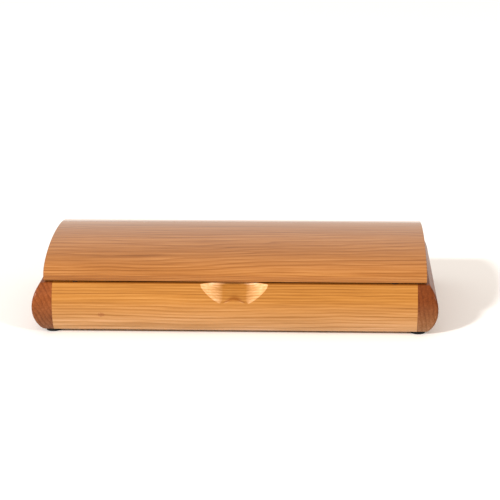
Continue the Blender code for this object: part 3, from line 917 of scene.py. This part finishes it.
def brass_material():
    nodes = Nodes("brass")
    place = nodes.add("TexCoord").outputs["Object"]
    brushed = nodes.grain_noise(place, (10.0 * MM, 0.15 * MM), detail=3.0)
    tarnish = nodes.even_noise(place, 4.0 * MM, detail=3.0)
    colour = nodes.ramp(tarnish, [(0.35, (0.790, 0.560, 0.240)), (0.70, (0.560, 0.360, 0.130))])
    nodes.link(colour, nodes.shader.inputs["Base Color"])
    nodes.link(nodes.rescale(brushed, target=(0.20, 0.42)), nodes.shader.inputs["Roughness"])
    nodes.set(Metallic=1.0)
    nodes.bump(brushed, 0.12, 0.1 * MM)
    return nodes.material


def rubber_material():
    nodes = Nodes("black_rubber")
    place = nodes.add("TexCoord").outputs["Object"]
    dust = nodes.even_noise(place, 2.5 * MM, detail=3.0)
    skin = nodes.even_noise(place, 0.4 * MM)
    colour = nodes.ramp(dust, [(0.40, (0.004, 0.0035, 0.003)), (0.75, (0.010, 0.009, 0.008))])
    nodes.link(colour, nodes.shader.inputs["Base Color"])
    nodes.set(Roughness=0.70, Specular_IOR_Level=0.15)
    nodes.bump(skin, 0.15, 0.2 * MM)
    return nodes.material


def floor_material():
    nodes = Nodes("pale_floor")
    nodes.set(Base_Color=(0.95, 0.94, 0.935, 1.0), Roughness=0.75, Specular_IOR_Level=0.2)
    return nodes.material


def paint(obj, material):
    obj.data.materials.clear()
    obj.data.materials.append(material)


# ---------------------------------------------------------------- putting the object together
def dress(obj, material, body, slot, *nodes):
    """Finish a piece: its material, its body and the nodes that it stands for; slot is not used.

    Turned pieces hide the CAD node that they stand for themselves, where they are made.
    """
    paint(obj, material)
    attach(obj, body)
    if nodes:
        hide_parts(*nodes)


def build_woodwork():
    left_wood = end_wood("left_end_wood", (0.0, 0.40, 0.0), (1.00, 0.96, 0.88), (0.86, 1.36, 3.10))
    right_wood = end_wood("right_end_wood", (0.0, 0.90, 0.0), (0.71, 0.61, 0.48), (1.78, 3.70, 9.50))
    dress(make_front_panel(), front_wood(), "box", "cherry", "front_panel")
    dress(make_back_panel(), back_wood(), "box", "cherry", "back_panel")
    dress(make_end(-1), left_wood, "box", "dark_wood", "left_end")
    dress(make_end(1), right_wood, "box", "dark_wood", "right_end")
    dress(make_lid(), lid_wood(), "lid", "cherry", "lid_board")
    dress(make_bottom_panel(), plywood_material(), "box", "plywood", "bottom_panel")


def build_lining():
    felt = make_felt()
    dress(felt, felt_material(), "box", "felt", "felt_lining")


def build_rubber(side, rubber):
    """The two feet and the lid bumper on one side."""
    for row in ("front", "rear"):
        foot = soft_disc("foot_{}_{}".format(row, side), FOOT_TAPER, FOOT_ROUNDING)
        dress(foot, rubber, "box", "black_rubber")
    bumper = soft_disc("lid_bumper_" + side, 0.0, BUMPER_ROUNDING)
    dress(bumper, rubber, "box", "black_rubber")


def build_hinge(side, brass):
    """One hinge, whose leaves and pin keep the CAD's shapes, and its four screws."""
    for part in ("box_leaf", "lid_leaf", "pin"):
        paint(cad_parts["hinge_{}_{}".format(side, part)], brass)
    for owner in ("box", "lid"):
        for number in (1, 2):
            dress(make_screw(side, owner, number), brass, owner, "brass")


def build_object():
    brass = brass_material()
    rubber = rubber_material()
    build_woodwork()
    build_lining()
    for side in ("left", "right"):
        build_rubber(side, rubber)
        build_hinge(side, brass)


# ---------------------------------------------------------------- stage
def make_floor():
    bm = bmesh.new()
    bmesh.ops.create_grid(bm, x_segments=1, y_segments=1, size=FLOOR_REACH)
    floor = object_from_bmesh("floor", bm)
    paint(floor, floor_material())


def aimed_light(name, position, target, size, power, colour):
    light = bpy.data.lights.new(name, "AREA")
    light.shape = "DISK"
    light.size = size
    light.energy = power
    light.color = colour
    obj = bpy.data.objects.new(name, light)
    bpy.context.scene.collection.objects.link(obj)
    obj.location = position
    direction = Vector(target) - Vector(position)
    obj.rotation_euler = direction.to_track_quat("-Z", "Y").to_euler()


def make_lights():
    aimed_light("key", (-5.60, -7.45, 5.00), LIGHT_TARGET, size=0.95, power=1000.0,
                colour=(1.0, 0.99, 0.97))
    aimed_light("fill", (6.20, -6.30, 4.70), LIGHT_TARGET, size=1.10, power=330.0,
                colour=(1.0, 0.97, 0.90))


def make_world():
    world = bpy.data.worlds.new("studio")
    world.use_nodes = True
    background = world.node_tree.nodes["Background"]
    background.inputs["Color"].default_value = WORLD_COLOUR
    background.inputs["Strength"].default_value = WORLD_STRENGTH
    bpy.context.scene.world = world
    bpy.context.scene.view_settings.view_transform = "Standard"


def make_camera():
    azimuth = math.radians(CAMERA_AZIMUTH)
    elevation = math.radians(CAMERA_ELEVATION)
    back = Vector((math.sin(azimuth) * math.cos(elevation),
                   -math.cos(azimuth) * math.cos(elevation),
                   math.sin(elevation)))
    data = bpy.data.cameras.new("camera")
    data.lens = FOCAL_LENGTH
    data.sensor_width = SENSOR_WIDTH
    camera = bpy.data.objects.new("camera", data)
    bpy.context.scene.collection.objects.link(camera)
    turn = (-back).to_track_quat("-Z", "Y").to_matrix().to_4x4()
    roll = Matrix.Rotation(math.radians(CAMERA_ROLL), 4, "Z")
    camera.matrix_world = Matrix.Translation(Vector(CAMERA_AIM) + back * CAMERA_DISTANCE) @ turn @ roll
    bpy.context.scene.camera = camera


make_camera()
make_lights()
make_world()
make_floor()
build_object()
